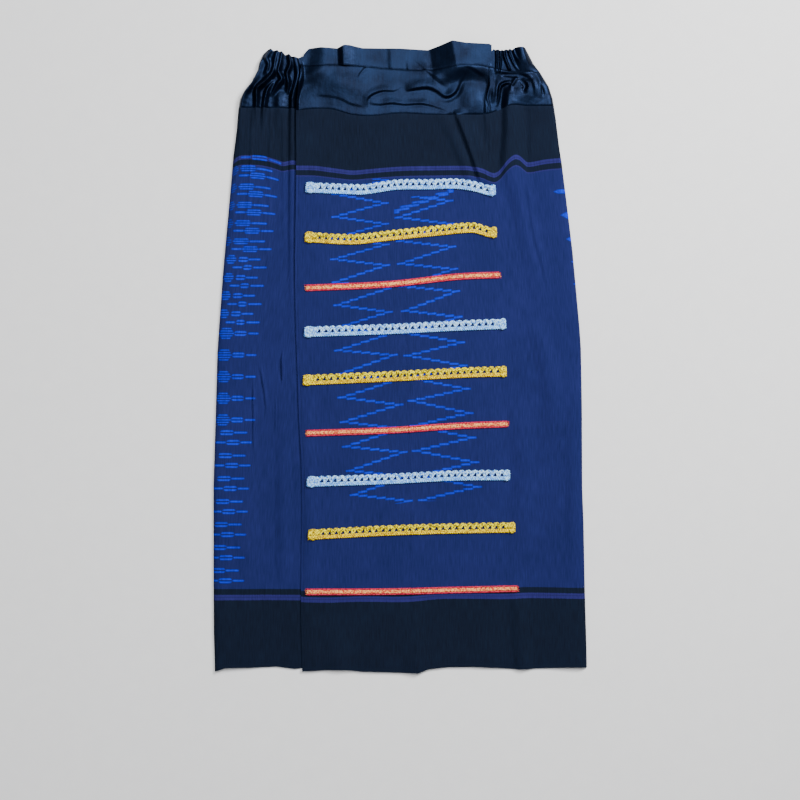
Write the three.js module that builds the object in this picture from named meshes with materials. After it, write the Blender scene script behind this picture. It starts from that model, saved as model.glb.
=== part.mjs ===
// A ready-made wrap skirt of ikat cloth with a satin yoke and waistband, laid flat with its front up.
// Sizes are in millimetres. The skirt lies on z = 0, its waist towards +y, and +z comes out of the cloth.
// Tables give a place as `across` from the centre front and `down` from the waist line.
// The back lies lowest, the underlap lies on it, and the overlap covers the underlap and the right side.
import * as THREE from 'three';

// ---- Cloth and how its layers lie ----
const CLOTH_WALL = 1.2;
const BAND_WALL = 2.0;
const LAYER_GAP = 0.3;
const SEAM_GAP = 0.4;
const STEEPEST_WALL = 2.4;
const UNDER_REST = CLOTH_WALL + LAYER_GAP;
const OVER_REST = UNDER_REST + CLOTH_WALL + LAYER_GAP;

// The underlap is cut to this hidden edge, and past it the overlap comes down onto the back.
const UNDERLAP_EDGE = 134;
const DESCENT_START = 140;
const DESCENT_END = 166;

// The folded sides stand up softly from the edge and sink again towards the front.
const SIDE_PUFF = 4.5;
const SIDE_ROLL = 11;
const SIDE_FADE = 75;

// ---- Outline. Columns: down, across ----
const LEFT_EDGE = [
  [7, -205], [11, -209], [24, -215], [35, -217], [54, -227], [67, -238], [79, -244], [94, -246.5],
  [129, -249.5], [164, -254], [233, -260], [343, -270], [420, -275.5], [464, -278.5], [571, -281.5],
  [668, -284.5], [815, -284.5], [892, -284], [951, -282.5],
];
const RIGHT_EDGE = [
  [4, 192], [14, 197.5], [25, 203], [38, 213], [60, 226.5], [79, 232.5], [108, 237], [153, 242.5],
  [175, 246], [231, 253], [309, 262.5], [379, 269], [429, 273.5], [458, 275.5], [544, 277],
  [671, 277.5], [723, 279.5], [830, 281.5], [915, 284], [944, 284.5],
];
// The front edge of the overlap, from the waistband's end to the hem.
const WRAP_EDGE = [
  [12, -147], [41, -148.5], [58, -152.5], [75, -155.5], [97, -158], [187, -158], [324, -160],
  [416, -159], [501, -156], [565, -154], [629, -150.5], [687, -149.5], [842, -151], [951, -149],
];

// ---- Edges that run across. Columns: across, down ----
const UNDER_TOP = [
  [-205, 7], [-197, 3], [-192, 7], [-187, 5], [-184, 8], [-180, 7], [-175, 13], [-169, 11],
  [-165, 15], [-161, 15], [-155, 17], [-148, 14], [-125, 10], [134, 8],
];
const BAND_TOP = [
  [-147, 13], [-143, 7], [-139, 3], [-121, 1], [-96, 3], [-85, -2], [-77, -2], [-57, 2], [0, 2.5],
  [42, 5], [60, -1], [79, -8], [99, -5], [135, -4], [139, -2],
];
const RIGHT_TOP = [
  [139, 7], [142, 4], [145, 6], [149, 4.5], [152, 7], [154.5, 5], [157, 7], [161, 4], [164, 6],
  [167, 3], [170, 5.5], [174, 2.5], [179, 1.5], [187, 1.5], [192, 4],
];
const UNDER_WAIST_SEAM = [[-220, 33], [-185, 36], [-148, 38], [-100, 37], [134, 37]];
const OVER_WAIST_SEAM = [
  [-150, 29], [-110, 28], [-60, 30], [0, 34.5], [49, 34.5], [90, 29.5], [118, 29], [150, 35],
  [178, 39], [215, 38],
];
const UNDER_YOKE_SEAM = [[-248, 93], [-189, 93], [-148, 94], [134, 96]];
const OVER_YOKE_SEAM = [
  [-160, 97], [-130, 94], [-104, 95], [-74, 103], [-46, 105], [0, 101], [45, 103], [96, 103],
  [132, 102], [150, 96], [170, 89], [196, 90], [240, 90],
];
const UNDER_HEM = [
  [-283, 951], [-266, 945.5], [-227, 945], [-188, 943.5], [-161, 947], [-149, 945.5], [134, 944],
];
const OVER_HEM = [
  [-149, 950.5], [-110, 948.5], [-81, 948.5], [-58, 951], [0, 952.5], [27, 953.5], [42, 947.5],
  [74, 944], [106, 943.5], [149, 945.5], [181, 947.5], [202, 946.5], [256, 944.5], [285, 944.5],
];

// ---- Folds. Each point of a fold has the columns across, down, rise ----
const UNDER_FOLDS = [
  { half: 9, path: [[-211, 20, 3], [-223, 50, 6], [-237, 72, 6], [-242, 93, 4], [-246, 150, 0]] },
  { half: 6, path: [[-197, 6, 3], [-203, 17, 5], [-200, 27, 5], [-203, 40, 3]] },
  { half: 7.5, path: [[-188, 10, 3], [-190, 20, 5], [-194, 40, 8], [-207, 55, 9], [-217, 64, 9],
    [-218, 82, 7], [-220, 125, 0]] },
  { half: 6.5, path: [[-195, 55, 3], [-202, 67, 8], [-205, 79, 9], [-207, 93, 8], [-209, 130, 0]] },
  { half: 6.5, path: [[-180, 9, 3], [-183, 27, 6], [-185, 38, 8], [-180, 49, 9], [-186, 58, 9],
    [-194, 70, 4]] },
  { half: 6, path: [[-169, 12, 3], [-167, 27, 6], [-172, 41, 8], [-170, 55, 9], [-171, 68, 3]] },
  { half: 14, path: [[-183, 78, 3], [-182, 96, 4], [-184, 140, 0]] },
  { half: 6, path: [[-160, 17, 3], [-157, 30, 5], [-155.5, 41, 8], [-157, 52, 9], [-161, 65, 9],
    [-164, 79, 8], [-164, 92, 7], [-164.5, 202, 5], [-165.5, 324, 3], [-165, 431, 0]] },
  { half: 15, path: [[-178, 520, 0], [-178, 620, 2], [-178, 760, 2.5], [-176, 850, 0]] },
  { half: 22, path: [[-228, 560, 0], [-232, 700, 2], [-230, 850, 1.5], [-228, 948, 1]] },
];
const OVER_FOLDS = [
  // Gathers of the elastic casing and the puff beside them.
  { half: 3.3, path: [[143, 4, 3.5], [144, 33, 4]] },
  { half: 3.3, path: [[149.5, 4, 3.5], [151, 34, 4]] },
  { half: 3.3, path: [[156, 4, 3.5], [157.5, 35, 4]] },
  { half: 3.3, path: [[162.5, 3, 4], [164, 35, 4]] },
  { half: 3.6, path: [[169, 3, 4], [172, 36, 4]] },
  { half: 15, path: [[183, 2, 8], [187, 20, 8], [192, 36, 4]] },
  // The waistband's kink at the left and its tilted facet right of the centre.
  { half: 9, path: [[-82, -2, 4], [-81, 29, 3]] },
  { half: 30, path: [[38, 4, 7], [43, 34, 5]] },
  { half: 22, path: [[112, -5, 3], [112, 29, 2]] },
  // Folds of the flat satin yoke.
  { half: 10, path: [[-128, 67, 1], [-97, 72, 3], [-60, 80, 2]] },
  { half: 9, path: [[-56, 64, 2], [-38, 58, 4], [-10, 57, 4], [6, 50, 2]] },
  { half: 9.5, path: [[14, 56, 2], [42, 54, 6], [58, 58, 6], [73, 67, 6], [86, 58, 5], [92, 42, 3]] },
  { half: 8, path: [[-40, 79, 1], [12, 78, 4], [48, 79, 4], [70, 90, 3]] },
  { half: 6, path: [[-30, 96, 1], [25, 96, 2.5], [62, 99, 1]] },
  { half: 15, path: [[104, 52, 2], [112, 75, 4], [112, 100, 3], [112, 120, 0]] },
  // Gathered side of the yoke: rim and channel beside the dart, then the soft tucks to the edge.
  { half: 6, path: [[148, 42, 5], [152, 60, 7], [150, 75, 7], [145, 86, 3]] },
  { half: 6.5, path: [[134, 38, 3], [137, 58, 5], [132, 79, 4], [133, 130, 2], [134, 180, 0]] },
  { half: 7, path: [[158, 48, 6], [166, 54, 7], [174, 64, 6]] },
  { half: 7, path: [[181, 42, 7], [187, 58, 6], [196, 70, 4]] },
  { half: 8, path: [[196, 40, 6], [207, 58, 6], [214, 75, 5], [216, 100, 0]] },
  // Long folds that the gathers send down the right front.
  { half: 15, path: [[174, 72, 7], [175, 126, 8], [177, 172, 7], [188, 250, 4], [206, 340, 2],
    [224, 420, 0]] },
  { half: 9, path: [[146, 100, 3], [147, 150, 4], [150, 190, 4], [152, 260, 0]] },
  { half: 14, path: [[66, 108, 1], [84, 140, 3], [104, 190, 3], [112, 240, 0]] },
  { half: 11, path: [[108, 112, 1], [120, 145, 3], [133, 190, 2], [136, 230, 0]] },
  { half: 20, path: [[190, 385, 0], [218, 460, 3], [232, 540, 2], [236, 620, 0]] },
  { half: 24, path: [[170, 520, 0], [188, 620, 3], [186, 740, 2], [180, 800, 0]] },
  { half: 15, path: [[262, 560, 0], [264, 700, 3], [262, 820, 0]] },
  { half: 18, path: [[166, 770, 0], [180, 850, 3], [188, 946, 4]] },
  { half: 26, path: [[-100, 860, 0], [-92, 950, 3]] },
  { half: 24, path: [[20, 860, 0], [26, 952, 3]] },
  { half: 16, path: [[-140, 480, 0], [-140, 600, 2], [-136, 760, 2], [-136, 948, 1]] },
];

// ---- Braids. Columns of each point: across, down ----
const BRAIDS = [
  { kind: 'silver', line: [[-144, 214], [-72, 217], [-54, 217], [-5, 210], [42, 209.5], [85, 208.5],
    [115, 213], [137, 219], [145, 217.5]] },
  { kind: 'gold', line: [[-145, 289.5], [-72, 293], [-14, 287], [64, 279], [111, 275.5], [137, 282.5],
    [147, 282]] },
  { kind: 'red', line: [[-143, 367], [-14, 361], [85, 350], [151, 347]] },
  { kind: 'silver', line: [[-146, 434], [-14, 429.5], [85, 424.5], [161, 421.5]] },
  { kind: 'gold', line: [[-148, 507.5], [-14, 501.5], [106, 495.5], [162, 494]] },
  { kind: 'red', line: [[-142, 588], [-14, 583.5], [85, 577], [163, 574]] },
  { kind: 'silver', line: [[-142, 662], [-14, 657.5], [85, 652.5], [167, 652]] },
  { kind: 'gold', line: [[-140, 742.5], [-14, 736], [85, 733], [175, 731.5]] },
  { kind: 'red', line: [[-142, 829.5], [-14, 829], [85, 826.5], [178, 824.5]] },
];
// Width and wall of each kind of braid, and the loops along the upper edge of the chain braids.
const BRAID_SIZES = {
  silver: { width: 15, rail: 2.2, lip: 1.5, pitch: 9.3, loop: 1.5 },
  gold: { width: 15, rail: 2.2, lip: 1.5, pitch: 9.3, loop: 1.5 },
  red: { width: 9, rail: 1.8, lip: 1.8, pitch: 14, loop: 0 },
};
const BRAID_GAP = 0.5;

// ---- Finishes ----
const FINISHES = {
  satin: { color: 0x1c3048, roughness: 0.35, metalness: 0 },
  ikat: { color: 0x243a78, roughness: 0.85, metalness: 0 },
  silver: { color: 0xc8dcee, roughness: 0.35, metalness: 0.6 },
  gold: { color: 0xdcb43c, roughness: 0.35, metalness: 0.6 },
  red: { color: 0xc84640, roughness: 0.5, metalness: 0.2 },
};

// ---- Reading the tables ----
// A value between two others, and a share from 0 to 1 eased at both ends.
function mix(from, to, share) {
  return from + (to - from) * share;
}

function rise(share) {
  const t = THREE.MathUtils.clamp(share, 0, 1);
  return t * t * (3 - 2 * t);
}

// The row of a table, in its first column, that a value falls after.
function rowBefore(table, at) {
  let row = 0;
  while (row < table.length - 2 && table[row + 1][0] < at) row += 1;
  return row;
}

// Straight from point to point.
function straight(table) {
  return (at) => {
    const row = rowBefore(table, at);
    const share = (at - table[row][0]) / (table[row + 1][0] - table[row][0]);
    return mix(table[row][1], table[row + 1][1], THREE.MathUtils.clamp(share, 0, 1));
  };
}

// A smooth curve through the points, with each slope taken from the points on both sides.
function smooth(table) {
  const slope = (row) => {
    const before = table[Math.max(row - 1, 0)];
    const after = table[Math.min(row + 1, table.length - 1)];
    return (after[1] - before[1]) / (after[0] - before[0]);
  };
  return (at) => {
    const row = rowBefore(table, at);
    const span = table[row + 1][0] - table[row][0];
    const t = THREE.MathUtils.clamp((at - table[row][0]) / span, 0, 1);
    const ease = t * t * (3 - 2 * t);
    const leave = t * (1 - t) * (1 - t) * span * slope(row);
    const arrive = t * t * (1 - t) * span * slope(row + 1);
    return mix(table[row][1], table[row + 1][1], ease) + leave - arrive;
  };
}

const leftEdge = straight(LEFT_EDGE);
const rightEdge = straight(RIGHT_EDGE);
const wrapEdge = smooth(WRAP_EDGE);

// ---- How high the cloth lies ----
// One fold's height at a place: its rise at the nearest point of its path, falling off over `half`.
function foldHeight(fold, across, down) {
  let nearest = Infinity;
  let height = 0;
  for (let k = 0; k < fold.path.length - 1; k += 1) {
    const [x0, d0, rise0] = fold.path[k];
    const [x1, d1, rise1] = fold.path[k + 1];
    const lengthSquared = (x1 - x0) ** 2 + (d1 - d0) ** 2;
    const along = ((across - x0) * (x1 - x0) + (down - d0) * (d1 - d0)) / lengthSquared;
    const share = THREE.MathUtils.clamp(along, 0, 1);
    const distance = Math.hypot(across - mix(x0, x1, share), down - mix(d0, d1, share));
    if (distance < nearest) {
      nearest = distance;
      height = mix(rise0, rise1, share);
    }
  }
  const off = Math.min(nearest / fold.half, 1);
  return height * (1 - off * off) ** 2;
}

// All the folds of a layer together at a place.
function foldsAt(folds, across, down) {
  return folds.reduce((sum, fold) => sum + foldHeight(fold, across, down), 0);
}

// How far a folded side stands up, a distance inward from its edge.
function sidePuff(inward) {
  const turn = THREE.MathUtils.clamp(1 - inward / SIDE_ROLL, 0, 1);
  return SIDE_PUFF * Math.sqrt(1 - turn * turn) * rise((SIDE_FADE - inward) / (SIDE_FADE - SIDE_ROLL));
}

// The height of each layer's lower face.
function underLower(across, down) {
  return UNDER_REST + foldsAt(UNDER_FOLDS, across, down) + sidePuff(across - leftEdge(down));
}

// The wall's upright thickness, so that it keeps `wall` measured square to the cloth.
const SLOPE_STEP = 0.5;
function uprightWall(lower, wall, across, down) {
  const slopeX = (lower(across + SLOPE_STEP, down) - lower(across - SLOPE_STEP, down)) / (2 * SLOPE_STEP);
  const slopeY = (lower(across, down + SLOPE_STEP) - lower(across, down - SLOPE_STEP)) / (2 * SLOPE_STEP);
  return Math.min(wall * Math.hypot(1, slopeX, slopeY), Math.max(STEEPEST_WALL, wall));
}

// The overlap lies on the underlap's folds where it starts, clear of the fold a little way to its left,
// and comes down onto the back at the right.
const LIFT_END = -100;
const LIFT_REACH = 4.5;
function overLower(across, down) {
  const rest = mix(UNDER_REST, OVER_REST, rise((DESCENT_END - across) / (DESCENT_END - DESCENT_START)));
  const height = rest + foldsAt(OVER_FOLDS, across, down) + sidePuff(rightEdge(down) - across);
  if (across > LIFT_END) return height;
  const underUpper = (x) => underLower(x, down) + uprightWall(underLower, CLOTH_WALL, x, down);
  return height + Math.max(underUpper(across), underUpper(across - LIFT_REACH)) - UNDER_REST - CLOTH_WALL;
}

// ---- Cloth walls ----
// Shares from 0 to 1 made of zones, each with the columns from, to, steps.
function shares(zones) {
  const list = [0];
  for (const [from, to, steps] of zones) {
    for (let k = 1; k <= steps; k += 1) list.push(mix(from, to, k / steps));
  }
  return list;
}

// The place inside four edges at a share across and a share down, settled by passing between them.
const PASSES = 14;
function placeBetween(edges, shareAcross, shareDown) {
  let down = mix(edges.top(edges.start), edges.bottom(edges.start), shareDown);
  let across = edges.start;
  for (let pass = 0; pass < PASSES; pass += 1) {
    across = mix(edges.left(down), edges.right(down), shareAcross);
    down = mix(edges.top(across), edges.bottom(across), shareDown);
  }
  return [across, down];
}

// A closed wall over a grid: upper points, lower points under them, and a rim around the edge.
function wallOver(columns, rows, upper, lower) {
  const count = columns * rows;
  const index = [];
  const at = (column, row) => row * columns + column;
  for (let row = 0; row < rows - 1; row += 1) {
    for (let column = 0; column < columns - 1; column += 1) {
      const a = at(column, row);
      const b = at(column + 1, row);
      const c = at(column + 1, row + 1);
      const d = at(column, row + 1);
      index.push(a, d, c, a, c, b);
      index.push(a + count, c + count, d + count, a + count, b + count, c + count);
    }
  }
  const rim = [];
  for (let row = 0; row < rows - 1; row += 1) rim.push(at(0, row));
  for (let column = 0; column < columns - 1; column += 1) rim.push(at(column, rows - 1));
  for (let row = rows - 1; row > 0; row -= 1) rim.push(at(columns - 1, row));
  for (let column = columns - 1; column > 0; column -= 1) rim.push(at(column, 0));
  rim.forEach((p, k) => {
    const q = rim[(k + 1) % rim.length];
    index.push(p, p + count, q + count, p, q + count, q);
  });
  const geometry = new THREE.BufferGeometry();
  geometry.setAttribute('position', new THREE.Float32BufferAttribute([...upper, ...lower].flat(), 3));
  geometry.setIndex(index);
  geometry.computeVertexNormals();
  return geometry;
}

// One cut piece of cloth between its four edges, with the grid of its upper points kept for what lies on it.
function clothPiece(edges, acrossShares, downShares, lowerFace, wall) {
  const upper = [];
  const lower = [];
  for (const shareDown of downShares) {
    for (const shareAcross of acrossShares) {
      const [across, down] = placeBetween(edges, shareAcross, shareDown);
      const z = lowerFace(across, down);
      lower.push([across, -down, z]);
      upper.push([across, -down, z + uprightWall(lowerFace, wall, across, down)]);
    }
  }
  const geometry = wallOver(acrossShares.length, downShares.length, upper, lower);
  return { geometry, upper, columns: acrossShares.length };
}

// ---- The part ----
const skirt = new THREE.Group();

// Adds one named piece in its own material.
function add(name, geometry, finish) {
  const mesh = new THREE.Mesh(geometry, new THREE.MeshStandardMaterial(FINISHES[finish]));
  mesh.name = name;
  skirt.add(mesh);
}

// ---- Back: three flat pieces that the skirt rests on, a little smaller than the front ----
const BACK_INSET = 1.5;
const BACK_WAIST_SEAM = 37;
const BACK_YOKE_SEAM = 95;
const BACK_HEM = 941;
const BACK_TOP = [[-201, 13], [-186, 13], [-156, 21], [-138, 15], [0, 8], [139, 11], [187, 8]];
const BACK_YOKE_ROWS = [50, 64, 79];
const BACK_PANEL_ROWS = [165, 310, 464, 671];

// A flat wall inside an outline, and the skirt's two sides at given distances down.
function flatPiece(outline) {
  const points = outline.map(([across, down]) => new THREE.Vector2(across, -down));
  const shape = new THREE.Shape(points);
  return new THREE.ExtrudeGeometry(shape, { depth: CLOTH_WALL, bevelEnabled: false });
}

function backSides(rows) {
  const right = rows.map((down) => [rightEdge(down) - BACK_INSET, down]);
  const left = rows.map((down) => [leftEdge(down) + BACK_INSET, down]);
  return [...right, ...left.reverse()];
}

const bandRows = [14, 25, BACK_WAIST_SEAM - SEAM_GAP];
add('back_waistband', flatPiece([...BACK_TOP, ...backSides(bandRows)]), 'satin');
const yokeRows = [BACK_WAIST_SEAM, ...BACK_YOKE_ROWS, BACK_YOKE_SEAM - SEAM_GAP];
add('back_yoke', flatPiece(backSides(yokeRows)), 'satin');
add('back_panel', flatPiece(backSides([BACK_YOKE_SEAM, ...BACK_PANEL_ROWS, BACK_HEM])), 'ikat');

// ---- Underlap: the gathered left side, with its hidden part lying flat under the overlap ----
const UNDER_COLUMNS = shares([[0, 0.3, 23], [0.3, 1, 5]]);
const YOKE_ROWS = shares([[0, 1, 11]]);
const BAND_ROWS = shares([[0, 1, 4]]);
const PANEL_ROWS = shares([[0, 0.25, 6], [0.25, 1, 9]]);
const underSides = { left: leftEdge, right: () => UNDERLAP_EDGE, start: UNDERLAP_EDGE };
const underWaistSeam = smooth(UNDER_WAIST_SEAM);
const underYokeSeam = smooth(UNDER_YOKE_SEAM);

const underBand = { ...underSides, top: straight(UNDER_TOP), bottom: underWaistSeam };
add('under_waistband', clothPiece(underBand, UNDER_COLUMNS, BAND_ROWS, underLower, CLOTH_WALL).geometry,
  'satin');

const underYoke = {
  ...underSides,
  top: (across) => underWaistSeam(across) + SEAM_GAP,
  bottom: (across) => underYokeSeam(across) - SEAM_GAP,
};
add('under_yoke', clothPiece(underYoke, UNDER_COLUMNS, YOKE_ROWS, underLower, CLOTH_WALL).geometry, 'satin');

const underPanel = { ...underSides, top: underYokeSeam, bottom: straight(UNDER_HEM) };
add('under_panel', clothPiece(underPanel, UNDER_COLUMNS, PANEL_ROWS, underLower, CLOTH_WALL).geometry,
  'ikat');

// ---- Overlap: the flat front waistband, the elastic casing, the yoke and the front panel ----
const OVER_COLUMNS = shares([[0, 0.74, 19], [0.74, 1, 20]]);
const FRONT_BAND_COLUMNS = shares([[0, 1, 24]]);
const CASING_COLUMNS = shares([[0, 1, 22]]);
const BAND_END = 139;
const overSides = { left: wrapEdge, right: rightEdge, start: 0 };
const overWaistSeam = smooth(OVER_WAIST_SEAM);
const overYokeSeam = smooth(OVER_YOKE_SEAM);

const frontBand = {
  left: wrapEdge,
  right: () => BAND_END - SEAM_GAP,
  top: straight(BAND_TOP),
  bottom: overWaistSeam,
  start: 0,
};
add('front_waistband', clothPiece(frontBand, FRONT_BAND_COLUMNS, BAND_ROWS, overLower, BAND_WALL).geometry,
  'satin');

const rightCasing = {
  left: () => BAND_END,
  right: rightEdge,
  top: straight(RIGHT_TOP),
  bottom: overWaistSeam,
  start: BAND_END,
};
add('right_casing', clothPiece(rightCasing, CASING_COLUMNS, BAND_ROWS, overLower, CLOTH_WALL).geometry,
  'satin');

const overYoke = {
  ...overSides,
  top: (across) => overWaistSeam(across) + SEAM_GAP,
  bottom: (across) => overYokeSeam(across) - SEAM_GAP,
};
add('over_yoke', clothPiece(overYoke, OVER_COLUMNS, YOKE_ROWS, overLower, CLOTH_WALL).geometry, 'satin');

const overPanelEdges = { ...overSides, top: overYokeSeam, bottom: straight(OVER_HEM) };
const overPanel = clothPiece(overPanelEdges, OVER_COLUMNS, PANEL_ROWS, overLower, CLOTH_WALL);
add('over_panel', overPanel.geometry, 'ikat');

// ---- Braids: nine strips sewn across the front panel, each following the panel's own points ----
// The height of a wall's upper face at a place, read from the triangle of its grid that holds the place.
function upperFaceAt(piece, across, down) {
  const { upper, columns } = piece;
  const place = new THREE.Vector3(across, -down, 0);
  const flat = ([x, y]) => new THREE.Vector3(x, y, 0);
  const weights = new THREE.Vector3();
  for (let k = 0; k < upper.length - columns; k += 1) {
    if ((k + 1) % columns === 0) continue;
    const [a, b, c, d] = [upper[k], upper[k + 1], upper[k + columns + 1], upper[k + columns]];
    for (const corners of [[a, d, c], [a, c, b]]) {
      const [p, q, r] = corners.map(flat);
      if (THREE.Triangle.containsPoint(place, p, q, r)) {
        THREE.Triangle.getBarycoord(place, p, q, r, weights);
        return corners[0][2] * weights.x + corners[1][2] * weights.y + corners[2][2] * weights.z;
      }
    }
  }
  return overLower(across, down) + CLOTH_WALL;
}

// A strip along its line. Its upper edge goes in and out by `loop`, twice in each pitch.
function braidStrip({ kind, line }) {
  const { width, rail, lip, pitch, loop } = BRAID_SIZES[kind];
  const centre = smooth(line);
  const start = line[0][0];
  const end = line[line.length - 1][0];
  const steps = 2 * Math.round((end - start) / pitch);
  const upper = [];
  const lower = [];
  for (const side of [-1, 1]) {
    for (let k = 0; k <= steps; k += 1) {
      const across = mix(start, end, k / steps);
      const wave = k % 2 === 0 ? -loop : 0;
      const reach = side < 0 ? width / 2 + wave : width / 2;
      const down = centre(across) + side * reach;
      const z = upperFaceAt(overPanel, across, down) + BRAID_GAP;
      lower.push([across, -down, z]);
      upper.push([across, -down, z + (side < 0 ? lip : rail)]);
    }
  }
  return wallOver(steps + 1, 2, upper, lower);
}

BRAIDS.forEach((braid, k) => {
  add(`braid_${k + 1}_${braid.kind}`, braidStrip(braid), braid.kind);
});

// The origin is under the middle of the skirt, on the surface that it lies on.
const box = new THREE.Box3().setFromObject(skirt);
const middle = box.getCenter(new THREE.Vector3());
skirt.position.set(-middle.x, -middle.y, -box.min.z);

export default skirt;
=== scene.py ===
"""A ready-made wrap skirt, laid flat with its front up.

A place on it is `across` from the centre front and `down` from the waist line, in millimetres. Points
become metres, in the shared frame, only where they go into a mesh.
"""

import math

import bmesh
import bpy
import numpy as np
from mathutils import Matrix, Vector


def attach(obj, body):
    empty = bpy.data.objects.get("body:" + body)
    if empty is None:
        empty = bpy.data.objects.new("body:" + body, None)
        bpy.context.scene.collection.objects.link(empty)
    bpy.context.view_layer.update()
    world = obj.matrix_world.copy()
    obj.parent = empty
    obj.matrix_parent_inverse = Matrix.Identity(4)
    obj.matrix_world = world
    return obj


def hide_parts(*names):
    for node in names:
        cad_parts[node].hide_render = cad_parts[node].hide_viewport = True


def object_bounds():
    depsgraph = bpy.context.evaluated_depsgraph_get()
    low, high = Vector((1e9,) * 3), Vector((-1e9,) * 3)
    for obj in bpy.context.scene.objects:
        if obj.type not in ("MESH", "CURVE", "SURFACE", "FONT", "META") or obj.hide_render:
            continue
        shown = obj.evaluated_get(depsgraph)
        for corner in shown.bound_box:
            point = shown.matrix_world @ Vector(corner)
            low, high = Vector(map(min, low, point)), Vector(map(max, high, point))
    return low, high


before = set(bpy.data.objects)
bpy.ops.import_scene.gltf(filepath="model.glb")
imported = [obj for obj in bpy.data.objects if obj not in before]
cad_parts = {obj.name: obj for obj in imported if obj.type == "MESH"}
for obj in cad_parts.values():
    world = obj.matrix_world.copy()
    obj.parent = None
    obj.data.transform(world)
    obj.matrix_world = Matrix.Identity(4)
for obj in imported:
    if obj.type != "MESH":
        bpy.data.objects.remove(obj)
cad_box = [list(corner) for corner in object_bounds()]

# ---- Floor, light and camera ----
# The skirt lies on a plain pale floor under a large soft light from the upper right, and the camera
# looks straight down on it.
MM = 0.001
BAND_PEAK = 8  # the waistband's highest point stands this far above the waist line
WAIST_Y = cad_box[1][1] - BAND_PEAK * MM
FLOOR_SIZE = 6
PICTURE_SIDE = 1.2179
PICTURE_MIDDLE = (-0.3, 537.4)  # across, down
LENS = 85
SENSOR = 36
CLOTH_HEIGHT = 0.004
FLOOR = (231, 231, 232), (238, 238, 238)
ROOM = (225, 232, 240)
ROOM_STRENGTH = 0.13


def placed(across, down, height):
    """A place on the skirt in metres, in the shared frame."""
    return across * MM, WAIST_Y - down * MM, height * MM


class Shade:
    """One socket of a material, with Python's operators standing for its maths."""

    def __init__(self, tree, socket):
        self.tree, self.socket = tree, socket

    def node(self, kind, settings=None, values=None):
        """Any node: its type, its settings, and the values or links of its inputs by name or place."""
        made = self.tree.nodes.new("ShaderNode" + kind)
        for key, value in (settings or {}).items():
            setattr(made, key, value)
        for key, value in (values or {}).items():
            if isinstance(value, Shade):
                self.tree.links.new(value.socket, made.inputs[key])
            else:
                made.inputs[key].default_value = value
        return made

    def out(self, kind, settings=None, values=None, output=0):
        """One output of a new node."""
        return Shade(self.tree, self.node(kind, settings, values).outputs[output])

    def math(self, operation, *others):
        """A Math node on this socket and up to two more values."""
        values = {0: self, **{k + 1: other for k, other in enumerate(others)}}
        return self.out("Math", {"operation": operation}, values)

    def __add__(self, other):
        return self.math("ADD", other)

    def __mul__(self, other):
        return self.math("MULTIPLY", other)

    def __sub__(self, other):
        return self.math("SUBTRACT", other)

    def __rsub__(self, other):
        return self.math("MULTIPLY_ADD", -1, other)

    __radd__ = __add__
    __rmul__ = __mul__

    def between(self, low, high):
        """0 at low and 1 at high, smooth in between."""
        return self.out(
            "MapRange",
            {"interpolation_type": "SMOOTHSTEP"},
            {"Value": self, "From Min": low, "From Max": high},
        )

    def near(self, centre, half, soft):
        """1 within half of centre, fading out over soft."""
        return 1 - (self - centre).math("ABSOLUTE").between(half - soft / 2, half + soft / 2)

    def blend(self, colour, other):
        """From one colour to another by this share."""
        return self.out("Mix", {"data_type": "RGBA"}, {0: self, 6: colour, 7: other}, 2)

    def dye(self, colours):
        """From the first to the second of two colours, as seen on a screen, by this share."""
        return self.blend(linear(colours[0]), linear(colours[1]))

    def uv(self, name):
        """The two values of a UV map."""
        pair = self.out("UVMap", {"uv_map": name})
        return [self.out("SeparateXYZ", None, {0: pair}, k) for k in (0, 1)]

    def point(self, across, down):
        """A flat vector of two values."""
        return self.out("CombineXYZ", None, {0: across, 1: down})

    def noise(self, scale, detail=2):
        """Soft noise from 0 to 1 on this vector."""
        return self.out("TexNoise", None, {"Vector": self, "Scale": scale, "Detail": detail})


def finish(name, **fixed):
    """A new material, its Principled shader, and a Shade of its Object coordinates."""
    material = bpy.data.materials.new(name)
    material.use_nodes = True
    shader = material.node_tree.nodes["Principled BSDF"]
    for key, value in fixed.items():
        shader.inputs[key.replace("_", " ")].default_value = value
    coordinates = material.node_tree.nodes.new("ShaderNodeTexCoord")
    return material, shader, Shade(material.node_tree, coordinates.outputs["Object"])


def feed(shader, **values):
    """Links Shades to the shader's sockets."""
    for key, value in values.items():
        value.tree.links.new(value.socket, shader.inputs[key.replace("_", " ")])


def linear(colour):
    """A colour as seen on a screen, 0 to 255, as the linear colour that shaders take."""
    shares = [c / 255 for c in colour]
    return (*[c / 12.92 if c <= 0.04045 else ((c + 0.055) / 1.055) ** 2.4 for c in shares], 1)


floor_mesh = bpy.data.meshes.new("floor")
floor_plane = bmesh.new()
bmesh.ops.create_grid(floor_plane, x_segments=1, y_segments=1, size=FLOOR_SIZE / 2)
floor_plane.to_mesh(floor_mesh)
floor_plane.free()
floor = bpy.data.objects.new("floor", floor_mesh)
bpy.context.collection.objects.link(floor)
floor_finish, floor_shader, floor_place = finish("floor_paper", Roughness=0.9)
feed(floor_shader, Base_Color=floor_place.noise(40, 3).dye(FLOOR))
floor.data.materials.append(floor_finish)

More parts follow.
